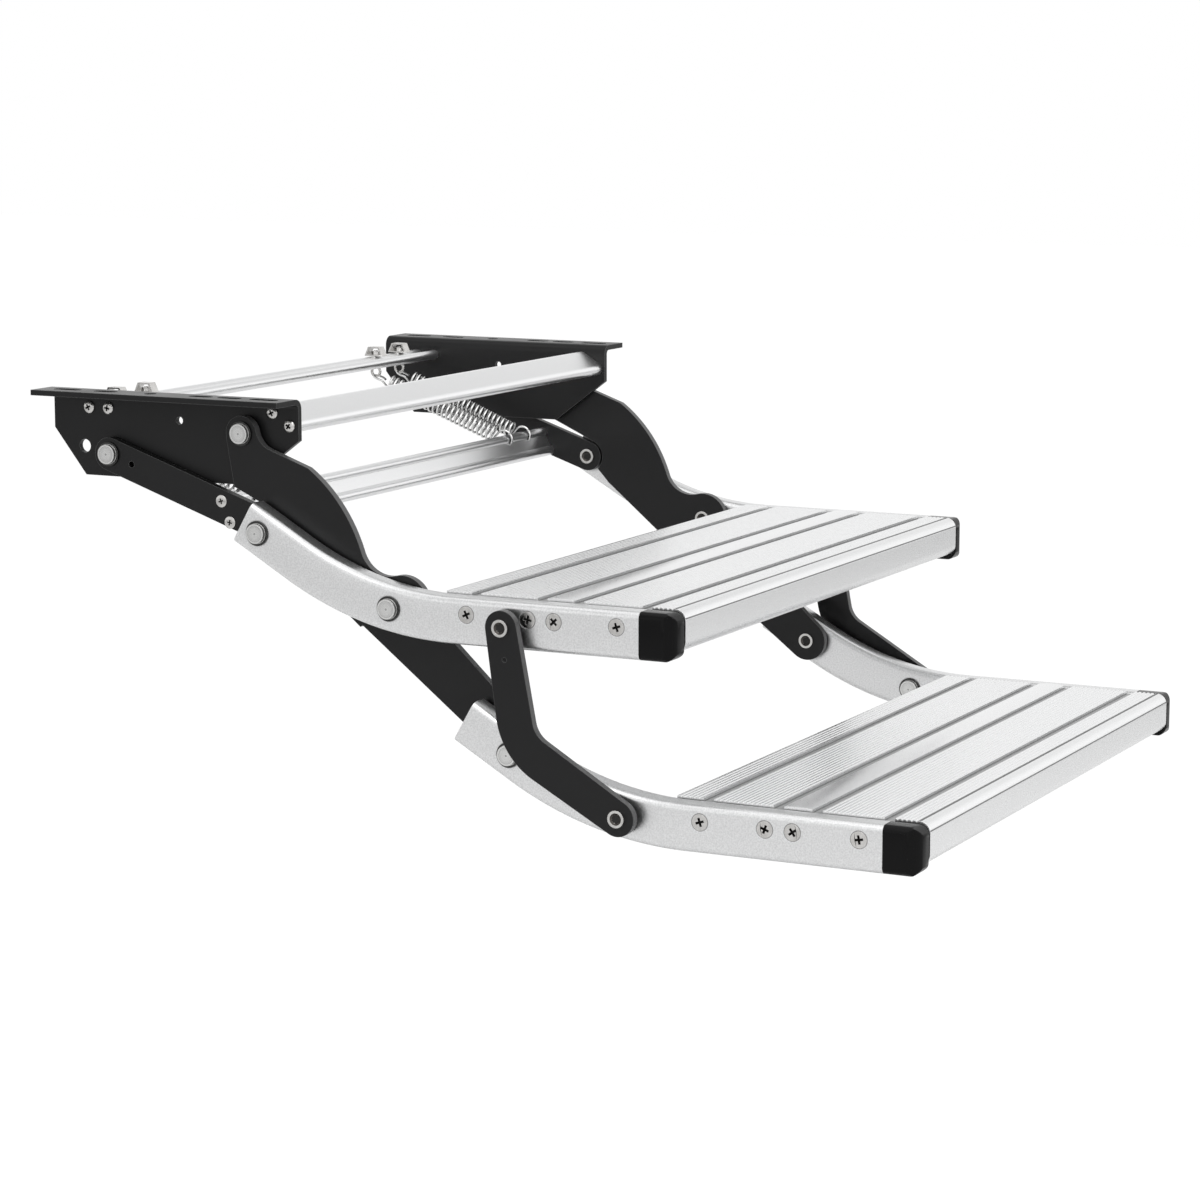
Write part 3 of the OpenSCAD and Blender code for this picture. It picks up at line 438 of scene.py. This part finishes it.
# Dark grey for the ring in the gap round countersunk heads and the lines on the noses: painted
# shadow
def rim_shadow():
    s = Shader("rim_shadow", (0.2, 0.2, 0.2), 0.8, 0.5)
    s.rough(s.spread(s.noise(900.0), 0.45, 0.6))
    return s.mat


def cap_plastic():
    s = Shader("cap_black", (0.0035, 0.0035, 0.0037), 0.0, 0.2)
    s.bsdf.inputs["Specular IOR Level"].default_value = 0.13
    s.round_edges(0.9 * MM)
    s.bump(s.noise(2200.0, 2.0), 0.05, 0.05 * MM)
    s.rough(s.spread(s.noise(40.0), 0.14, 0.24))
    return s.mat


def bright_zinc():
    s = Shader("spring_zinc", (0.8, 0.8, 0.795), 1.0, 0.16)
    s.bump(s.noise(1500.0, 2.0), 0.04, 0.03 * MM)
    s.rough(s.spread(s.noise(300.0), 0.12, 0.22))
    s.tint(s.spread(s.noise(90.0), 0.0, 1.0), (0.74, 0.74, 0.735), (0.9, 0.9, 0.895))
    # Painted shade inside the coils and where the wire closes in
    s.shade(s.crevice_shade(14.0 * MM, 0.05, 0.45, 0.7))
    return s.mat


def dress(material, *names):
    """Puts one material on the CAD nodes."""
    for name in names:
        for slot in NODES[name].material_slots:
            slot.link = "OBJECT"
            slot.material = material


# ---------------------------------------------------------------- soft shading of the CAD faces


def shading_group():
    """Geometry nodes that weld the CAD faces and shade them smoothly, apart from sharp edges."""
    tree = bpy.data.node_groups.new("weld_and_smooth", "GeometryNodeTree")
    for way in ("INPUT", "OUTPUT"):
        tree.interface.new_socket("Geometry", in_out=way, socket_type="NodeSocketGeometry")
    add, link = tree.nodes.new, tree.links.new
    source, result = add("NodeGroupInput"), add("NodeGroupOutput")
    forget = add("GeometryNodeRemoveAttribute")
    forget.inputs["Name"].default_value = "custom_normal"
    weld = add("GeometryNodeMergeByDistance")
    weld.inputs["Distance"].default_value = SHADING_WELD
    all_smooth = add("GeometryNodeSetShadeSmooth")
    all_smooth.domain = "FACE"
    all_smooth.inputs["Shade Smooth"].default_value = True
    edge_angle = add("GeometryNodeInputMeshEdgeAngle")
    compare = add("FunctionNodeCompare")
    compare.data_type = "FLOAT"
    compare.operation = "GREATER_THAN"
    compare.inputs["B"].default_value = math.radians(SMOOTH_ANGLE)
    sharp = add("GeometryNodeSetShadeSmooth")
    sharp.domain = "EDGE"
    sharp.inputs["Shade Smooth"].default_value = False
    link(source.outputs[0], forget.inputs["Geometry"])
    link(forget.outputs["Geometry"], weld.inputs["Geometry"])
    link(weld.outputs["Geometry"], all_smooth.inputs["Geometry"])
    link(all_smooth.outputs["Geometry"], sharp.inputs["Geometry"])
    link(edge_angle.outputs["Unsigned Angle"], compare.inputs["A"])
    link(compare.outputs["Result"], sharp.inputs["Selection"])
    link(sharp.outputs["Geometry"], result.inputs[0])
    return tree


def smooth_frame():
    group = shading_group()
    for node in NODES.values():
        node.modifiers.new("weld_and_smooth", "NODES").node_group = group


# ---------------------------------------------------------------- meshes


def mesh_from(bm, name):
    """A new mesh of what bm holds. bm is freed."""
    mesh = bpy.data.meshes.new(name)
    bm.to_mesh(mesh)
    bm.free()
    return mesh


def circle_loop(bm, x, y, z, radius, sides, turn=0.0):
    """A ring of points round a line along X. radius is in millimetres."""
    angles = [turn + 2 * math.pi * k / sides for k in range(sides)]
    return [bm.verts.new((x, y + radius * MM * math.cos(t), z + radius * MM * math.sin(t)))
            for t in angles]


def bridge(bm, a, b):
    """A band of faces between two loops of equal length."""
    n = len(a)
    return [bm.faces.new((a[k], a[(k + 1) % n], b[(k + 1) % n], b[k])) for k in range(n)]


def add_plug(bm, rings):
    """Adds a closed solid through rings of equal length."""
    for a, b in zip(rings, rings[1:]):
        bridge(bm, a, b)
    bm.faces.new(rings[0])
    bm.faces.new(rings[-1])


def smooth_by_angle(mesh):
    bm = bmesh.new()
    bm.from_mesh(mesh)
    for face in bm.faces:
        face.smooth = True
    limit = math.radians(SMOOTH_ANGLE)
    for edge in bm.edges:
        edge.smooth = len(edge.link_faces) == 2 and edge.calc_face_angle(0.0) < limit
    bm.to_mesh(mesh)
    bm.free()


def tube_mesh(name, points, radius, sides):
    """A closed round tube along points."""
    bm = bmesh.new()
    rings = []
    n = len(points)
    previous = None
    for i, p in enumerate(points):
        tangent = (points[min(i + 1, n - 1)] - points[max(i - 1, 0)]).normalized()
        if previous is None:
            across = tangent.orthogonal().normalized()
        else:
            across = (previous - tangent * previous.dot(tangent)).normalized()
        previous = across
        other = tangent.cross(across)
        rings.append([
            bm.verts.new(p + radius * (math.cos(t) * across + math.sin(t) * other))
            for t in (2 * math.pi * k / sides for k in range(sides))])
    for a, b in zip(rings, rings[1:]):
        bridge(bm, a, b)
    bm.faces.new(list(reversed(rings[0])))
    bm.faces.new(rings[-1])
    bmesh.ops.recalc_face_normals(bm, faces=bm.faces)
    for face in bm.faces:
        face.smooth = len(face.verts) == 4
    return mesh_from(bm, name)


# ---------------------------------------------------------------- pieces


def new_piece(name, mesh, body, slot, *materials):
    piece = add_object(name, mesh)
    for material in materials:
        mesh.materials.append(material)
    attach(piece, body)
    return piece


def replace_screws(node, ending, mesh, body):
    """Lets mesh, which has its materials, stand in for a node of screws."""
    smooth_by_angle(mesh)
    piece = new_piece(node + ending, mesh, body, "stainless")
    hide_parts(node)


def welded(node):
    """The node's mesh with its faces joined, so that it can be cut or taken apart."""
    bm = bmesh.new()
    bm.from_mesh(NODES[node].data)
    bmesh.ops.remove_doubles(bm, verts=bm.verts, dist=SOLID_WELD)
    return bm


def islands(node):
    """Boxes of a node's separate solids."""
    bm = welded(node)
    seen, boxes = set(), []
    for start in bm.verts:
        if start in seen:
            continue
        stack, points = [start], []
        seen.add(start)
        while stack:
            v = stack.pop()
            points.append(v.co.copy())
            for edge in v.link_edges:
                other = edge.other_vert(v)
                if other not in seen:
                    seen.add(other)
                    stack.append(other)
        low = Vector([min(p[i] for p in points) for i in range(3)])
        high = Vector([max(p[i] for p in points) for i in range(3)])
        boxes.append((low, high))
    bm.free()
    return boxes


def head_faces(node, inward=False):
    """Middle of each screw's head, and the way along X that it looks: 1 or -1."""
    faces = []
    for low, high in islands(node):
        way = 1 if (low.x + high.x) > 0 else -1
        if inward:
            way = -way
        x = high.x if way > 0 else low.x
        faces.append(((x, (low.y + high.y) / 2, (low.z + high.z) / 2), way))
    return faces


def subtract(node, cutter_bm, dark, material):
    """The node's welded mesh in material, less the cutter, whose faces are dark: painted shade in
    the recess.
    """
    bmesh.ops.recalc_face_normals(cutter_bm, faces=cutter_bm.faces)
    cutter_mesh = mesh_from(cutter_bm, node + "_cutter")
    cutter_mesh.materials.append(dark)
    cutter = add_object(node + "_cutter", cutter_mesh)
    mesh = mesh_from(welded(node), node + "_copy")
    mesh.materials.clear()
    mesh.materials.append(material)
    work = add_object(node + "_work", mesh)
    cut = work.modifiers.new("recess", "BOOLEAN")
    cut.operation = "DIFFERENCE"
    cut.solver = "EXACT"
    cut.material_mode = "TRANSFER"
    cut.object = cutter
    depsgraph = bpy.context.evaluated_depsgraph_get()
    result = bpy.data.meshes.new_from_object(work.evaluated_get(depsgraph))
    for helper in (work, cutter):
        bpy.data.objects.remove(helper)
    return result


def add_cross(bm, face, outward, turn, size, depth):
    """Adds a tapered cross-shaped cutter, centred on the point face and cutting into the head."""
    c, s = math.cos(turn), math.sin(turn)
    rings = []
    for along, scale in ((CROSS_OVER * MM, CROSS_TOP_SCALE), (-depth, CROSS_TIP_SCALE)):
        rings.append([
            bm.verts.new((face.x + outward * along,
                          face.y + size * scale * (u * c - v * s) * MM,
                          face.z + size * scale * (u * s + v * c) * MM))
            for u, v in CROSS])
    add_plug(bm, rings)


def add_rim_shadows(mesh, faces, head, gap):
    """Draws the heads' rims in to the radius head and lays a dark ring of painted shadow in the gap
    round each.
    """
    bm = bmesh.new()
    bm.from_mesh(mesh)
    for v in bm.verts:
        for face, _ in faces:
            if abs(v.co.x - face.x) < HEAD_BAND * MM:
                arm = Vector((v.co.y - face.y, v.co.z - face.z))
                if head * MM < arm.length < (gap + HEAD_REACH) * MM:
                    arm *= head * MM / arm.length
                    v.co.y, v.co.z = face.y + arm.x, face.z + arm.y
    top, bottom = RIM_DEPTHS
    for face, outward in faces:
        loops = [circle_loop(bm, face.x - outward * depth * MM, face.y, face.z, radius, RIM_SIDES)
                 for radius, depth in ((head, top), (gap, top), (gap, bottom), (head, bottom))]
        for a, b in zip(loops, loops[1:] + loops[:1]):
            for band in bridge(bm, a, b):
                band.material_index = RIM_SLOT
    bm.to_mesh(mesh)
    bm.free()
    mesh.materials.append(RIM_SHADOW)


def cross_recessed(node, body, size, depth, turns, rim=None):
    """Replaces a node of screws by the same screws with cross recesses in their heads.

    rim is the head's radius and the outer radius of the ring of painted shadow in the gap round it,
    in millimetres.
    """
    cutter_bm = bmesh.new()
    faces = [(Vector(place), outward) for place, outward in head_faces(node)]
    for i, (face, outward) in enumerate(faces):
        add_cross(cutter_bm, face, outward, turns[i % len(turns)], size, depth)
    result = subtract(node, cutter_bm, RECESS_SHADE, STEEL)
    if rim:
        add_rim_shadows(result, faces, *rim)
    replace_screws(node, "_recessed", result, body)


def socket_screws(node, body, inward):
    """Replaces a node of socket screws by the same screws with coned mouths and dark bottoms of
    painted shade.
    """
    cutter_bm, bottom_bm = bmesh.new(), bmesh.new()
    slope = (MOUTH_R - SOCKET_R) / MOUTH_DEPTH
    for (x, y, z), head in head_faces(node, inward):
        add_plug(cutter_bm, [
            circle_loop(cutter_bm, x + head * MOUTH_OVER * MM, y, z,
                        MOUTH_R + MOUTH_OVER * slope, MOUTH_SIDES),
            circle_loop(cutter_bm, x - head * MOUTH_DEPTH * MM, y, z, SOCKET_R, MOUTH_SIDES)])
        # Dark plugs at the sockets' bottoms: painted shade
        add_plug(bottom_bm, [
            circle_loop(bottom_bm, x - head * depth * MM, y, z, SOCKET_R, 6, math.radians(30))
            for depth in (SOCKET_TOP, SOCKET_BOTTOM)])
    replace_screws(node, "_socketed", subtract(node, cutter_bm, MOUTH_SHADE, STEEL), body)
    bmesh.ops.recalc_face_normals(bottom_bm, faces=bottom_bm.faces)
    mesh = mesh_from(bottom_bm, node + "_socket_shade")
    new_piece(node + "_socket_shade", mesh, body, "stainless", RECESS_SHADE)


def nose_shade_lines(node, body):
    """Fine dark lines of painted shade along the two edges of a tread's rounded nose."""
    low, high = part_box(node)
    top = low[2] + TREAD_H * MM
    centre = (low[1] + NOSE_R * MM, top - NOSE_R * MM)
    bm = bmesh.new()
    for angle, half in NOSE_SHADE_LINES:
        t = math.radians(angle)
        out = Vector((0.0, -math.cos(t), math.sin(t)))
        along = Vector((0.0, math.sin(t), math.cos(t)))
        place = Vector((0.0, centre[0], centre[1])) + out * NOSE_R * MM
        section = ((-half, LINE_OVER), (half, LINE_OVER), (half, -LINE_UNDER), (-half, -LINE_UNDER))
        add_plug(bm, [
            [bm.verts.new(Vector((x, 0, 0)) + place + along * a * MM + out * o * MM)
             for a, o in section]
            for x in (low[0] + LINE_END * MM, high[0] - LINE_END * MM)])
    bmesh.ops.recalc_face_normals(bm, faces=bm.faces)
    mesh = mesh_from(bm, node + "_nose_shade_lines")
    new_piece(node + "_nose_shade_lines", mesh, body, "aluminium", RIM_SHADOW)


# ---------------------------------------------------------------- springs


def arc(centre, w, u, radius, sweep):
    """Part of a loop round centre, in the plane of w, the spring's axis, and u."""
    start, end = sweep
    angles = [math.radians(start + (end - start) * k / HOOK_STEPS) for k in range(HOOK_STEPS + 1)]
    return [centre + radius * (math.cos(t) * w + math.sin(t) * u) for t in angles]


def spring_points(eye, bar):
    """Wire path of an extension spring: a loop in the eye, the coil and a hook round the bar."""
    w = (bar - eye).normalized()
    u = Vector((1, 0, 0)).cross(w).normalized()
    v = w.cross(u)
    coil_r = (COIL_D - WIRE_D) / 2 * MM
    loop_r = LOOP_R * MM
    bar_r = HOOK_R * MM
    eye_centre = eye + w * (loop_r - LOOP_BEHIND_EYE * MM)
    bar_centre = bar - w * (bar_r - (BAR_BEAD_R + WIRE_D / 2 + HOOK_GAP) * MM)
    start = loop_r * 2 + LOOP_TO_COIL * MM
    stop = (bar_centre - eye).length - bar_r - HOOK_TO_COIL * MM
    points = arc(eye_centre, w, v, loop_r, LOOP_SWEEP)
    total = COIL_TURNS * COIL_STEPS
    end_steps = END_COIL_TURN * COIL_STEPS
    for i in range(total + 1):
        t = 2 * math.pi * i / COIL_STEPS
        ease = min(1.0, i / end_steps, (total - i) / end_steps)
        r = coil_r * (END_COIL_SHARE + (1.0 - END_COIL_SHARE) * ease)
        points.append(eye + w * (start + (stop - start) * i / total)
                      + r * (math.cos(t) * u + math.sin(t) * v))
    return points + arc(bar_centre, w, u, bar_r, HOOK_SWEEP)


def smoothed(points, passes):
    for _ in range(passes):
        middle = [(a + b * 2 + c) / 4 for a, b, c in zip(points, points[1:], points[2:])]
        points = [points[0]] + middle + [points[-1]]
    return points


def add_springs():
    for side, sign in zip(SIDES, (-1, 1)):
        for row, (anchor_x, hook_x) in SPRING_X.items():
            eye_z = ANCHOR_YZ[1] - EYE_R - EYE_WIRE / 2
            eye = Vector((sign * anchor_x, ANCHOR_YZ[0], eye_z)) * MM
            bar = Vector((sign * hook_x, HOOK_YZ[0], HOOK_YZ[1])) * MM
            name = "spring_%s_%s" % (side, row)
            path = smoothed(spring_points(eye, bar), 2)
            mesh = tube_mesh(name + "_wire", path, WIRE_D / 2 * MM, WIRE_SIDES)
            piece = new_piece(name + "_wire", mesh, "springs", "spring_steel", ZINC)
            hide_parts(name)
            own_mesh(piece)


# ---------------------------------------------------------------- stage


def mix_into(tree, share, first, second, output):
    """Gives output the shader first where share is 0, and second where it is 1."""
    mix = tree.nodes.new("ShaderNodeMixShader")
    tree.links.new(share, mix.inputs["Fac"])
    tree.links.new(first.outputs[0], mix.inputs[1])
    tree.links.new(second.outputs[0], mix.inputs[2])
    tree.links.new(mix.outputs[0], output.inputs["Surface"])


def add_world():
    """White towards the camera, a studio in reflections, and an even light for the rest."""
    world = bpy.data.worlds.new("studio")
    bpy.context.scene.world = world
    world.use_nodes = True
    tree = world.node_tree
    nodes, links = tree.nodes, tree.links
    nodes.clear()
    output = nodes.new("ShaderNodeOutputWorld")
    seen, light = nodes.new("ShaderNodeBackground"), nodes.new("ShaderNodeBackground")
    for background in (seen, light):
        background.inputs["Color"].default_value = (1, 1, 1, 1)
    light.inputs["Strength"].default_value = WORLD_LIGHT
    path = nodes.new("ShaderNodeLightPath")
    coord, height = nodes.new("ShaderNodeTexCoord"), nodes.new("ShaderNodeSeparateXYZ")
    levels = nodes.new("ShaderNodeValToRGB")
    fill_ramp(levels, [(place, (level, level, level, 1.0)) for place, level in STUDIO_LEVELS])
    shown, strength, share = (nodes.new("ShaderNodeMath") for _ in range(3))
    for node in (shown, strength, share):
        node.operation = "MAXIMUM"
    links.new(coord.outputs["Generated"], height.inputs["Vector"])
    links.new(height.outputs["Z"], levels.inputs["Fac"])
    links.new(path.outputs["Is Camera Ray"], shown.inputs[0])
    links.new(path.outputs["Is Transmission Ray"], shown.inputs[1])
    links.new(shown.outputs[0], strength.inputs[0])
    links.new(levels.outputs["Color"], strength.inputs[1])
    links.new(strength.outputs[0], seen.inputs["Strength"])
    links.new(shown.outputs[0], share.inputs[0])
    links.new(path.outputs["Is Glossy Ray"], share.inputs[1])
    mix_into(tree, share.outputs[0], light, seen, output)


def add_floor():
    """A matt floor that looks nearly white to the camera and keeps the shadow."""
    mesh = bpy.data.meshes.new("floor")
    corners = ((-1, -1), (1, -1), (1, 1), (-1, 1))
    mesh.from_pydata([(x * FLOOR_HALF, y * FLOOR_HALF, FLOOR_Z) for x, y in corners],
                     [], [(0, 1, 2, 3)])
    floor = add_object("floor", mesh)
    material = bpy.data.materials.new("floor_white")
    material.use_nodes = True
    tree = material.node_tree
    nodes = tree.nodes
    nodes.clear()
    output = nodes.new("ShaderNodeOutputMaterial")
    white = nodes.new("ShaderNodeEmission")
    white.inputs["Strength"].default_value = FLOOR_WHITE
    matt = nodes.new("ShaderNodeBsdfDiffuse")
    matt.inputs["Color"].default_value = (FLOOR_GREY, FLOOR_GREY, FLOOR_GREY, 1)
    path = nodes.new("ShaderNodeLightPath")
    share = nodes.new("ShaderNodeMath")
    share.operation = "MULTIPLY"
    share.inputs[1].default_value = FLOOR_WHITE_SHARE
    tree.links.new(path.outputs["Is Camera Ray"], share.inputs[0])
    mix_into(tree, share.outputs[0], matt, white, output)
    mesh.materials.append(material)


def add_lamps():
    for name, place, size, power in LAMPS:
        data = bpy.data.lights.new(name, "AREA")
        data.shape = "RECTANGLE"
        data.size, data.size_y = size
        data.energy = power
        lamp = add_object(name, data)
        lamp.location = place
        aim(lamp, Vector(LAMP_TARGET) - Vector(place))


# ---------------------------------------------------------------- the part

add_camera()

COAT = powder_coat("black_powder_coat", 0.0)
# The arms' and doglegs' coat has a painted highlight on its cut faces
COAT_CUT_HIGHLIGHT = powder_coat("black_powder_coat_cut_highlight", 0.9)
BAR_ALU = anodised("anodised_bars", *ANODISED_BARS).mat
TUBE_ALU = anodised("anodised_tubes", *ANODISED_TUBES).mat
STEEL = stainless()
RECESS_SHADE = recess_shade()
MOUTH_SHADE = socket_mouth_shade()
RIM_SHADOW = rim_shadow()
CAP = cap_plastic()
ZINC = bright_zinc()

dress(COAT, *(part + "_" + s for part in ("mount_plate", "rear_link") for s in SIDES))
dress(COAT_CUT_HIGHLIGHT, *(part + "_" + s for part in ("arm", "dogleg") for s in SIDES))
dress(BAR_ALU, "front_cross_bar", "rear_cross_bar", "link_cross_bar")
for tread in ("upper_tread", "lower_tread"):
    dress(groove_shade(anodised("anodised_" + tread, *ANODISED_TREADS), tread).mat, tread)
dress(TUBE_ALU, *(part + "_stringer_" + s for part in ("upper", "lower") for s in SIDES))
dress(CAP, *(part + "_cap_" + s for part in ("upper", "lower") for s in SIDES))
dress(STEEL, "spring_brackets", "anchor_bolts", "anchor_nuts")
for pins in ("arm_pivot_pins", "link_pivot_pins", "upper_link_studs", "upper_arm_pins",
             "dogleg_top_pins", "lower_arm_pins", "lower_dogleg_studs"):
    dress(turned_painted_rings(pins), pins)
smooth_frame()

# Cross recesses: body, size of the cross, depth, turns of the crosses, and the gap round the head
# with its ring of painted shadow
for screws, body, size, depth, turns, rim in (
        ("upper_tread_screws", "upper_step", 1.25, 2.2 * MM, TURNS, CSK_RIM),
        ("lower_tread_screws", "lower_step", 1.25, 2.2 * MM, TURNS[3:] + TURNS[:3], CSK_RIM),
        ("front_bar_screws", "frame", 0.95, 1.5 * MM, TURNS[1:], None),
        ("rear_bar_screws", "frame", 0.95, 1.5 * MM, TURNS[2:], None),
        ("link_bar_screws", "rear_links", 0.95, 0.7 * MM, TURNS[5:], None)):
    cross_recessed(screws, body, size, depth, turns, rim)
# Socket screws: body, and whether their heads look inward
for screws, body, inward in (
        ("arm_pivot_screws", "frame", True), ("link_pivot_screws", "frame", True),
        ("link_end_screws", "rear_links", True), ("upper_arm_screws", "upper_step", True),
        ("lower_arm_screws", "lower_step", True), ("dogleg_top_screws", "upper_step", False),
        ("dogleg_low_screws", "doglegs", False)):
    socket_screws(screws, body, inward)
nose_shade_lines("upper_tread", "upper_step")
nose_shade_lines("lower_tread", "lower_step")
add_springs()

add_world()
add_floor()
add_lamps()
bpy.context.scene.view_settings.view_transform = "Standard"
